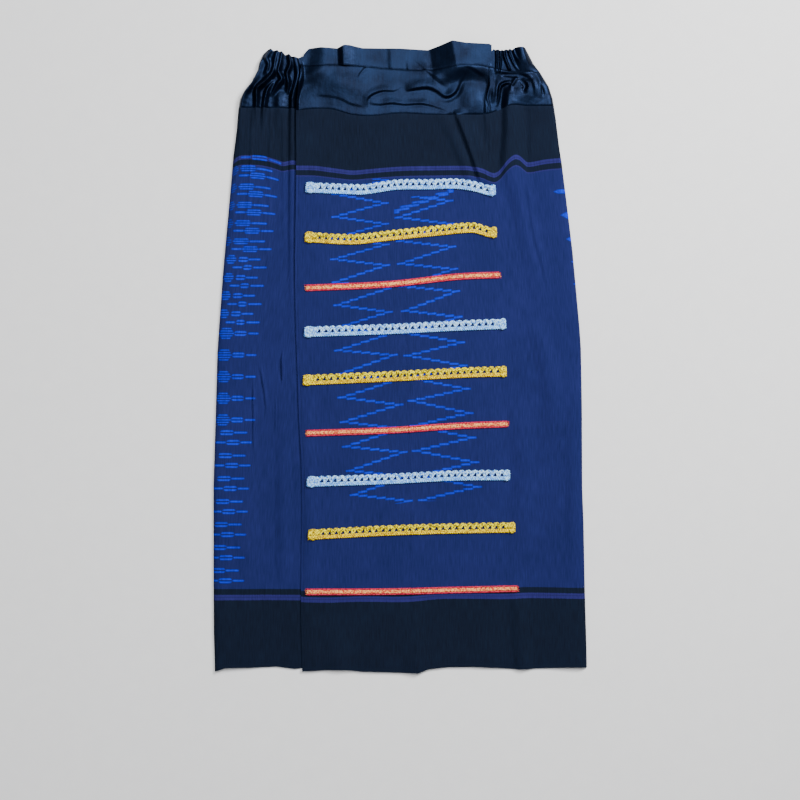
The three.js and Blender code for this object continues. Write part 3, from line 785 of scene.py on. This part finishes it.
OVER_CREASES = [
    # Across the yoke, and the pressed crease down the centre.
    (30, 14, 17.0, 11.0, [(162, 58, 0), (159, 70, 0.7), (157, 88, 1), (157, 126, 1), (154, 170, 0.9),
        (156, 200, 0.4), (163, 240, 0)]),
    (16, 10, 2.5, 1.0, [(-130, 74, 0), (-111, 75, 0.7), (-92, 79, 0.8), (-75, 87, 0.8), (-50, 92, 0)]),
    (12, 8, 2.5, 2.4, [(-50, 90, 0.2), (-49, 79, 0.9), (-41, 72, 1), (-26, 67, 0.8), (-9, 67, 0.3),
        (4, 60, 0)]),
    (18, 9, 4.0, 6.0, [(8, 67, 0), (20, 65, 0.7), (42, 63, 0.8), (53, 67, 1), (70, 77, 1.1), (84, 70, 0.9),
        (92, 54, 0.4), (98, 42, 0)]),
    (11, 7, 2.6, 2.2, [(-50, 85, 0), (-34, 88, 0.6), (-12, 86, 1), (6, 88, 0.7), (33, 87, 1), (52, 91, 0.5),
        (72, 99, 0.2), (76, 106, 0)]),
    (15, 9, 6.0, 2.4, [(30, 28, 0.3), (46, 42, 0.9), (60, 54, 0.9), (74, 64, 0)]),
    (10, 8, 5.0, 1.8, [(96, 30, 0), (108, 34, 1), (121, 41, 0.9), (134, 48, 0)]),
    (6, 5, 2.0, 1.2, [(-52, 30, 0.5), (-60, 38, 0.9), (-66, 50, 0)]),
    (24, 26, 22.0, 3.6, [(-160, 62, 1), (-142, 52, 1), (-118, 40, 0.7), (-100, 30, 0)]),
    (7, 6, 1.6, 1.8, [(2.5, 190, 0.5), (7, 360, 0.8), (12.5, 537, 1), (19, 842, 1), (24, 950, 1)]),
    (14, 12, 6.0, 2.6, [(189, 180, 0), (194, 230, 1), (204, 290, 1), (217, 340, 0.7), (226, 385, 0)]),
    # Down the black cloth: a slanting crease, and the dart's seam.
    (22, 14, 5.5, 9.0, [(80, 97, 0), (87, 112, 0.8), (97, 138, 1), (108, 168, 1), (116, 192, 1),
        (122, 208, 0)]),
    (5, 4, 1.8, 2.8, [(135, 30, 0.6), (135, 58, 0.6), (131, 78, 0.6), (135, 90, 0.9), (135, 172, 0.9),
        (135, 186, 0)]),
]
WAISTBAND_CREASES = [
    (26, 9, 16.0, 8.5, [(-92.5, -8, 1), (-90.5, 34, 1)]),
    (7, 5, 2.0, 1.0, [(-63, 14, 0), (-64, 34, 1)]),
    (7, 5, 2.0, 1.4, [(10, 18, 0), (11, 38, 1)]),
    (16, 12, 8.0, 0.8, [(-18, -4, 1), (-16, 38, 1)]),
]
FACET_FOOT, FACET_CREST = straight([(-6, 40), (34, 49)]), straight([(-8, 78), (34, 87)])
FACET_DIP, FACET_CLIMB = -1.5, 12  # how low it starts, and how far it climbs
FACET_LEAD, FACET_SINK = 12, 95  # how wide the cloth before it and past it is drawn along
FACET_FADE = 26
SWELL_HEIGHT, SWELL_CREST = 4.4, -118
SWELL_CLIMB, SWELL_SINK, SWELL_FADE = 32, 90, 40


def facet(across, down):
    """The waistband's tilted facet: it climbs straight to a sharp crest, and sinks away past it."""
    foot, crest = FACET_FOOT(down), FACET_CREST(down)
    before = FACET_DIP * ease(1 - (foot - across) / FACET_LEAD)
    climb = FACET_DIP + FACET_CLIMB * (across - foot) / (crest - foot)
    sink = (FACET_DIP + FACET_CLIMB) * ease(1 - (across - crest) / FACET_SINK)
    height = np.where(across < foot, before, np.where(across < crest, climb, sink))
    return height * ease((over_waist_seam(across) + FACET_FADE - down) / FACET_FADE)


def front_swell(across, down):
    """The swell beside the front edge: it climbs from the edge and sinks slowly towards the middle."""
    climb = ease((across - wrap_edge(down) - 2) / SWELL_CLIMB)
    sink = ease(1 - (across - SWELL_CREST) / SWELL_SINK)
    return SWELL_HEIGHT * climb * sink * ease((82 - down) / SWELL_FADE)


def over_upper(across, down):
    """The overlap's upper side."""
    covering = ease((DESCENT_END - across) / (DESCENT_END - DESCENT_START))
    rest = UNDER_TOP_SIDE + (OVER_TOP_SIDE - UNDER_TOP_SIDE) * covering
    inward = right_edge(down) - across
    relief = folds_at(OVER_FOLDS, across, down) + creases_at(OVER_CREASES, across, down)
    relief += facet(across, down) + front_swell(across, down)
    satin_part = ease((104 - down) / 20)
    relief += (0.35 + 0.35 * satin_part) * waves(across, down) * ease(inward / 20)
    relief += 0.15 * waves(5 * across, 4 * down) * satin_part * ease((across - 138) / 8) * ease(inward / 12)
    relief -= seam_groove(down - over_yoke_seam(across))
    relief -= WAIST_SEAM_SHARE * seam_groove(down - over_waist_seam(across))
    lift = np.maximum(under_upper(across, down), under_upper(across - LIFT_REACH, down)) - UNDER_TOP_SIDE
    lift = np.where(across < LIFT_END, np.maximum(lift, 0), 0)
    return rolled(rest + soft_floor(relief, -0.8) + side_puff(inward) + lift, inward)


def band_upper(across, down):
    """The flat waistband's upper side: it is the thicker, with its own sharp creases."""
    kinks = creases_at(WAISTBAND_CREASES, across, down)
    return over_upper(across, down) + (BAND_WALL - CLOTH_WALL) + soft_floor(kinks, -1.2)


wrap_edge = smooth(WRAP_EDGE)
# Columns: across, down.
band_top = straight([
    (-147, 13), (-143, 7), (-139, 3), (-121, 1), (-96, 3), (-85, -2), (-77, -2), (-57, 2), (0, 2.5),
    (42, 5), (60, -1), (79, -8), (99, -5), (135, -4), (139, -2),
])
casing_top = straight([
    (139, 7), (142, 4), (145, 6), (149, 4.5), (152, 7), (154.5, 5), (157, 7), (161, 4), (164, 6),
    (167, 3), (170, 5.5), (174, 2.5), (179, 1.5), (187, 1.5), (192, 4),
])
over_waist_seam = smooth([
    (-150, 29), (-110, 28), (-60, 30), (0, 34.5), (49, 34.5), (90, 29.5), (118, 29), (150, 35),
    (178, 39), (215, 38),
])
over_yoke_seam = smooth([
    (-160, 97), (-130, 94), (-104, 95), (-74, 103), (-46, 105), (0, 101), (45, 103), (96, 103),
    (132, 102), (150, 96), (170, 89), (196, 90), (240, 90),
])
over_stripe = smooth([
    (-160, 184), (-130, 184.5), (-110, 187), (-91, 189.5), (-72, 191.5), (-45, 189), (0, 185.5),
    (50, 184.5), (103, 184.7), (125, 189), (136, 194), (144, 195.6), (152, 190.5), (162.5, 177),
    (170, 170), (176, 167.5), (182.5, 169.5), (188.5, 175), (194.5, 179), (220, 175), (245, 172.5),
])
over_hem_stripe = smooth([
    (-151, 841), (-110, 842), (-60, 840.5), (0, 841), (20, 840), (60, 836.5), (110, 836), (160, 836.5),
    (190, 835), (285, 836),
])
over_hem = straight([
    (-149, 950.5), (-110, 948.5), (-81, 948.5), (-58, 951), (0, 952.5), (27, 953.5), (42, 947.5),
    (74, 944), (106, 943.5), (149, 945.5), (181, 947.5), (202, 946.5), (256, 944.5), (285, 944.5),
])


def over_warp(across, down):
    """Where the warp threads lie: they follow the front edge at the left and the flare at the right."""
    share = np.clip((across + 150) / 430, 0, 1)
    return across - share * (right_edge(down) - 280) - (1 - share) * (wrap_edge(down) + 152)


over_map = weft_map(over_yoke_seam, over_stripe, 300, over_hem_stripe, over_hem, over_warp, level(0))


BEYOND = 400  # how far the charts go on past their last tips
STEP_LENGTH = 35


def column_map(left_tips, right_tips):
    """A map for a zigzag column: over from 0 to 1, and steps down it. Tips are step, across, down."""

    def side(tips, down):
        steps, tips_across, tips_down = np.array(tips, float).T
        more = BEYOND / STEP_LENGTH
        step = np.interp(
            down, [tips_down[0] - BEYOND, *tips_down, tips_down[-1] + BEYOND],
            [steps[0] - more, *steps, steps[-1] + more],
        )
        return np.interp(down, tips_down, tips_across), step

    def tip_map(across, down):
        (left, left_step), (right, right_step) = side(left_tips, down), side(right_tips, down)
        over = (across - left) / (right - left)
        return over, left_step + (right_step - left_step) * over

    return tip_map


# Charts of the two zigzag columns. Columns: step, across, down.
LEFT_COLUMN = column_map(
    [(0.5, -105, 259), (2.5, -107, 323.5), (4.5, -102, 393.5), (6.5, -101, 462.5), (8.5, -96, 534),
     (10.5, -89, 609), (12.5, -77, 682.5)],
    [(0, -17, 237.5), (3, -15, 331.5), (5, -11, 403), (7, -3.5, 468), (9, 5.5, 544), (11, 11.5, 616),
     (13, 19.5, 690.5)],
)
RIGHT_COLUMN = column_map(
    [(0.5, -9, 260), (1.5, -7, 296), (3.5, -3, 365), (4.5, 1, 402.5), (6.5, 4.5, 470), (8.5, 10.5, 538.5),
     (10.5, 17.5, 615), (12.5, 27, 690)],
    [(0, 81, 233.5), (2, 85.5, 303.5), (4, 91.5, 371), (6, 99, 449.5), (8, 107.5, 520), (10, 116.5, 594.5),
     (12, 125, 669.5)],
)
# Each column's map, and its first and last step.
ZIGZAGS = [("left_column", -1.08, 13.06), ("right_column", -0.34, 12.55)]
ZIGZAG_DASHES, ZIGZAG_HALF = 7, 0.038
# The hook above the right column. Columns: step, dashes, half its height, how strong.
HOOK_LINES = [(0.275, 6, 0.045, 1), (0.185, 5, 0.04, 0.85)]
HOOK_SLOPE = 0.675
# Tips of the spindles at the right side edge. Columns: along, half its height, how far it reaches in.
EDGE_TIPS = [(228.5, 2.6, 18), (261, 4.4, 12), (293.5, 2.6, 8), (327, 1.6, 4), (361, 1.6, 4)]
EDGE_TIP_STRENGTH = 0.9


def over_ikat(place, over, along):
    """Masks of the front's two zigzag columns, and of the spindles at the right edge."""
    masks = []
    for map_name, first, last in ZIGZAGS:
        column_over, step = place.uv(map_name)
        masks.append((zigzag(column_over, step, ZIGZAG_DASHES, ZIGZAG_HALF, first, last), 1))
    for start, dashes, half, strength in HOOK_LINES:
        masks.append((dashed(column_over, step - start, HOOK_SLOPE, dashes, half), strength))
    inward = place.uv("to_edge")[0] * (1 / MM)
    tips = []
    for tip_along, half, reach in EDGE_TIPS:
        off = (along - tip_along).math("ABSOLUTE")
        tips.append(off.near(0, half, 1.2) * (1 - (inward + off * 2).between(reach - 3, reach + 2)))
    return masks + [(strongest(tips), EDGE_TIP_STRENGTH)]


cloth_over = ikat_cloth("ikat_cloth_overlap", over_ikat)
over_maps = {
    "cloth": over_map, "left_column": LEFT_COLUMN, "right_column": RIGHT_COLUMN,
    "to_edge": lambda across, down: ((right_edge(down) - across) * MM, down * MM),
}
satin_maps = {"cloth": flat_map}
OVER_COLUMNS = zones((0, 0.02, 8), (0.02, 0.70, 160), (0.70, 0.98, 112), (0.98, 1, 10))
OVER_PANEL_COLUMNS = zones((0, 0.02, 8), (0.02, 0.56, 62), (0.56, 0.84, 66), (0.84, 0.98, 34),
                           (0.98, 1, 10))
over_pieces = [
    ("front_waistband", satin, (wrap_edge, level(BAND_END), band_top, over_waist_seam),
     np.linspace(0, 1, 170), np.linspace(0, 1, 26), band_upper, satin_maps, "satin",
     (0.29, 0.036), 0.0098, "laid"),
    ("right_casing", satin, (level(BAND_END), right_edge, casing_top, over_waist_seam),
     zones((0, 0.5, 60), (0.5, 0.95, 34), (0.95, 1, 8)), np.linspace(0, 1, 30), over_upper, satin_maps,
     "satin", (0.1, 0.036), 0.0034, "gathered"),
    ("over_yoke", satin, (wrap_edge, right_edge, over_waist_seam, over_yoke_seam),
     OVER_COLUMNS, np.linspace(0, 1, 54), over_upper, satin_maps, "satin",
     (0.5, 0.072), 0.031, "gathered"),
    ("over_panel", cloth_over, (wrap_edge, right_edge, over_yoke_seam, over_hem),
     OVER_PANEL_COLUMNS, zones((0, 0.25, 80), (0.25, 1, 160)), over_upper, over_maps, "ikat_cloth",
     (0.5, 0.86), 0.40, "gathered"),
]
for node, material, edges, columns, rows, upper, maps, slot, *cut in over_pieces:
    lay(node, material, edges, (columns, rows), upper, maps, slot, cut)

# ---- Braids: nine trims sewn across the front panel ----
# Silver and gold ones are chain braids: leaning loops over a row of small holes, on a plaited
# rail, with bound ends. Red ones are a gold plait between two twisted red cords.
BRAID_LIFT = 0.4
RAIL_CENTRE = 4.7  # below the braid's middle
RAIL_SWING = 2.0
RAIL_WAVE = 0.65
YARN = 1.3
TWIST = 3.4  # one turn of a yarn's two plies
OUTER_LOOP = (3.2, 3.5, 2.4)  # foot, reach and roundness
INNER_LOOP = (-3.2, 8.2, 1.9)
# Rows of loops: their form, how far they lie to the right, their lift, and how thick in yarns.
LOOP_ROWS = [(OUTER_LOOP, 0, 0.9, 1.35), (INNER_LOOP, -0.6, 1.1, 0.88), (INNER_LOOP, 0.6, 1.4, 0.88)]
LEAN = 0.14  # how far a loop leans to the right for its height
LEFT_BOUND, RIGHT_BOUND = 22, 11  # from each end to the row of holes
KNOT_WIDTH, KNOT_HEIGHT = 6.4, 7.6  # half the bound end's size
RED_CORD = 3.8
BRAIDS = [
    # Kind, the pitch of its loops, and its middle line. Columns: across, down.
    ("silver", 9.4, [(-144, 214), (-72, 217), (-54, 217), (-5, 210), (42, 209.5), (85, 208.5),
                     (115, 213), (137, 219), (145, 217.5)]),
    ("gold", 9.4, [(-145, 289.5), (-72, 293), (-14, 287), (64, 279), (111, 275.5), (137, 282.5),
                   (147, 282)]),
    ("red", 5.2, [(-143, 367), (-14, 361), (85, 350), (151, 347)]),
    ("silver", 10.15, [(-146, 434), (-14, 429.5), (85, 424.5), (161, 421.5)]),
    ("gold", 10.15, [(-148, 507.5), (-14, 501.5), (106, 495.5), (162, 494)]),
    ("red", 5.2, [(-142, 588), (-14, 583.5), (85, 577), (163, 574)]),
    ("silver", 10.15, [(-142, 662), (-14, 657.5), (85, 652.5), (167, 652)]),
    ("gold", 10.15, [(-140, 742.5), (-14, 736), (85, 733), (175, 731.5)]),
    ("red", 5.2, [(-142, 829.5), (-14, 829), (85, 826.5), (178, 824.5)]),
]
chance = np.random.default_rng(7)


def strand(body, centre, across, aside, lift, radius, sides=6, flat=0.85):
    """Adds a two-ply yarn to a bmesh, along a braid's middle line moved aside from it and lifted.

    Gives the number of its vertices.
    """
    down = centre(across) + aside
    height = over_upper(across, down) + BRAID_LIFT + lift
    path = np.stack([across, down, height], 1)
    tangent = np.gradient(path, axis=0)
    tangent /= np.linalg.norm(tangent, axis=1)[:, None]
    side = np.cross(tangent, [0, 0, 1.0])
    side /= np.maximum(np.linalg.norm(side, axis=1), 1e-6)[:, None]
    up = np.cross(side, tangent)
    made, column, row = moved_grid(body, len(path), sides + 1)
    angle = row * (2 * math.pi / sides)
    plies = 1 + 0.17 * np.cos(2 * (angle - lengths(path)[column] * (2 * math.pi / TWIST)))
    ring = (side[column].T * np.cos(angle) + up[column].T * np.sin(angle) * flat) * radius * plies
    put(made, *(path[column].T + ring))
    return len(column)


def closed(body):
    """Joins a tube's long edges, closes its ends, and turns its faces outwards."""
    bmesh.ops.remove_doubles(body, verts=body.verts, dist=1e-6)
    open_edges = [edge for edge in body.edges if edge.is_boundary]
    bmesh.ops.holes_fill(body, edges=open_edges, sides=0)
    bmesh.ops.recalc_face_normals(body, faces=body.faces)


def yarn_finish(name, colours, other, **fixed):
    """Metallic yarn: painted glints and painted crevice shade, as light and dark specks of its colour on a
    fine grain, and towards `other` by the attribute yarn_share.
    """
    material, shader, place = finish(name, **fixed)
    # The grain's light specks in the colour are painted glints, its dark specks painted shade; the same
    # grain also gives the bump.
    grain_and_painted_glint = place.noise(520, 2)
    painted_glint_tone = grain_and_painted_glint.between(0.42, 0.58)
    share = place.out("Attribute", {"attribute_name": "yarn_share"}, None, 2)
    colour = share.blend(painted_glint_tone.dye(colours), painted_glint_tone.dye(other))
    bump = place.out("Bump", None, {"Strength": 0.6, "Distance": 0.0004, "Height": grain_and_painted_glint})
    feed(shader, Base_Color=colour, Normal=bump)
    return material


# Each kind has two pairs of colours, for yarn_share 0 and 1, each running from painted crevice shade to
# painted glint.
YARNS = {
    kind: yarn_finish(kind + "_yarn", colours, other, Roughness=roughness, Specular_IOR_Level=0.12)
    for kind, roughness, colours, other in [
        ("silver", 0.5, ((80, 144, 226), (162, 214, 255)), ((64, 128, 214), (190, 230, 255))),
        ("gold", 0.5, ((168, 128, 0), (246, 216, 0)), ((128, 106, 0), (250, 232, 10))),
        ("red", 0.55, ((150, 18, 44), (208, 54, 80)), ((196, 66, 44), (250, 188, 104))),
    ]
}
LOOP_STEP, YARN_STEP = 0.42, 0.55


def plait(places, pitch, swing, lift, wave):
    """Three plaited yarns. For each: how far it lies aside of their middle, and its lift."""
    for k in range(3):
        phase = (places / pitch + k / 3) * 2 * math.pi
        yield swing * np.sin(phase), lift + wave * np.sin(2 * phase)


def chain_braid(start, end, pitch):
    """The yarns of a chain braid: a plaited rail, rows of loops, and its bound ends.

    Each yarn has its yarn_share, then what strand takes.
    """
    fine = np.arange(start, end, YARN_STEP)
    for aside, lift in plait(fine, pitch, RAIL_SWING, 0.9, RAIL_WAVE):
        yield 0, fine, RAIL_CENTRE + aside, lift, YARN
    first = start + LEFT_BOUND - pitch / 2
    last = first + round((end - RIGHT_BOUND - first) / pitch) * pitch
    steps = np.arange(first, last, LOOP_STEP)
    for (foot, reach, roundness), shift, lift, thick in LOOP_ROWS:
        rise = reach * (1 - np.abs(2 * ((steps - first) / pitch % 1) - 1) ** roundness)
        yield 1, steps + shift + LEAN * rise, -(foot + rise), lift, YARN * thick, 5
    for low, high in ((start + 1, first + 1), (last - 1, end - 0.6)):
        bound = np.arange(low, high, YARN_STEP)
        for aside, lift in plait(bound, pitch * 0.75, 3.2, 1.4, 0.8):
            yield 1, bound, aside - 3.1, lift, YARN * 1.1
    for knot, size in ((start + KNOT_WIDTH + 1, 1.0), (end - 0.6 * KNOT_WIDTH - 1, 0.6)):
        wrap = np.linspace(0, 2 * math.pi, 380, endpoint=False) + chance.uniform(0, 0.4)
        wide, high = np.sin(5 * wrap), np.sin(4 * wrap + 0.5)
        yield (0.5, knot + KNOT_WIDTH * size * wide * (1 - 0.25 * high**2),
               KNOT_HEIGHT * high * (1 - 0.2 * wide**2), 2.2 + 0.5 * np.sin(20 * wrap), YARN * 1.1)


def cord_braid(start, end, pitch):
    """The yarns of a red braid, as chain_braid gives them: two cords, a plait and frayed ends."""
    fine = np.arange(start, end, 0.6)
    for aside in (-RED_CORD, RED_CORD):
        yield 0, fine, aside, 0.7, 1.35
    for share, (aside, lift) in zip((1, 1, 0.7), plait(fine, pitch, 1.8, 1.2, 0.5)):
        yield share, fine, aside, lift, 1.15
    for end_place, way in ((start, -1), (end, 1)):
        for k in range(7):
            aside = -3.9 + 1.3 * k + chance.uniform(-0.4, 0.4)
            reach = np.sort(np.linspace(0, way * chance.uniform(1.2, 3.4), 6))
            yield k % 2, end_place + reach, aside + np.linspace(0, chance.uniform(-1, 1), 6), 0.8, 0.35


for number, (kind, pitch, line) in enumerate(BRAIDS, 1):
    braid_body = bmesh.new()
    yarns = (cord_braid if kind == "red" else chain_braid)(line[0][0], line[-1][0], pitch)
    shares = [np.full(strand(braid_body, smooth(line), *form), share) for share, *form in yarns]
    share_layer = braid_body.verts.layers.float.new("yarn_share")
    for vertex, share in zip(braid_body.verts, np.concatenate(shares)):
        vertex[share_layer] = share
    closed(braid_body)
    node = f"braid_{number}_{kind}"
    braid_piece = made_piece(node + "_yarn", YARNS[kind], braid_body)
    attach(braid_piece, "root")
    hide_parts(node)

# ---- Sewing: rows of stitches ----
# Machine stitches in dark thread run along the waistband, the front edge and the hem. They lie just
# proud of the cloth.
STITCH_LENGTH = 2.4
STITCH_GAP = 1.0
STITCH_WIDTH = 0.42
STITCH_LIFT = 0.08
THREAD_BLUE = (6, 10, 24), (18, 26, 54)
thread_finish, thread_shader, thread_place = finish("sewing_thread", Roughness=0.7, Specular_IOR_Level=0.1)
feed(thread_shader, Base_Color=thread_place.noise(900, 1).dye(THREAD_BLUE))


def sewn(name, rows):
    """Rows of stitches in one piece: each row has its points of across, down, and what it lies on."""
    body = bmesh.new()
    size = Matrix.Diagonal((*[side / 2 * MM for side in (STITCH_LENGTH, STITCH_WIDTH, STITCH_WIDTH)], 1))
    for points, upper in rows:
        points = np.array(points, float)
        steps = lengths(points)
        middles = np.arange(STITCH_LENGTH, steps[-1], STITCH_LENGTH + STITCH_GAP)
        across, down = [np.interp(middles, steps, points[:, k]) for k in (0, 1)]
        ahead = [np.interp(middles + 0.5, steps, points[:, k]) for k in (0, 1)]
        turns = np.arctan2(-(ahead[1] - down), ahead[0] - across)
        heights = upper(across, down) + STITCH_LIFT
        for x, d, height, turn in zip(across, down, heights, turns):
            place = Matrix.Translation(placed(x, d, height)) @ Matrix.Rotation(turn, 4, "Z") @ size
            bmesh.ops.create_icosphere(body, subdivisions=1, radius=1, matrix=place)
    piece = made_piece(name, thread_finish, body)
    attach(piece, "root")


band_row = [(x, over_waist_seam(x) - 2.2) for x in np.arange(-143, 137, 4.0)]
sewn("waistband_stitches", [(band_row, band_upper)])
hem_row = [(x, over_hem(x) - 9) for x in np.arange(-146, 282, 6.0)]
edge_row = [(wrap_edge(d) + 4, d) for d in np.arange(102, 944, 8.0)]
sewn("overlap_stitches", [(hem_row, over_upper), (edge_row, over_upper)])
under_hem_row = [(x, under_hem(x) - 9) for x in np.arange(-278, -152, 6.0)]
sewn("underlap_stitches", [(under_hem_row, under_upper)])
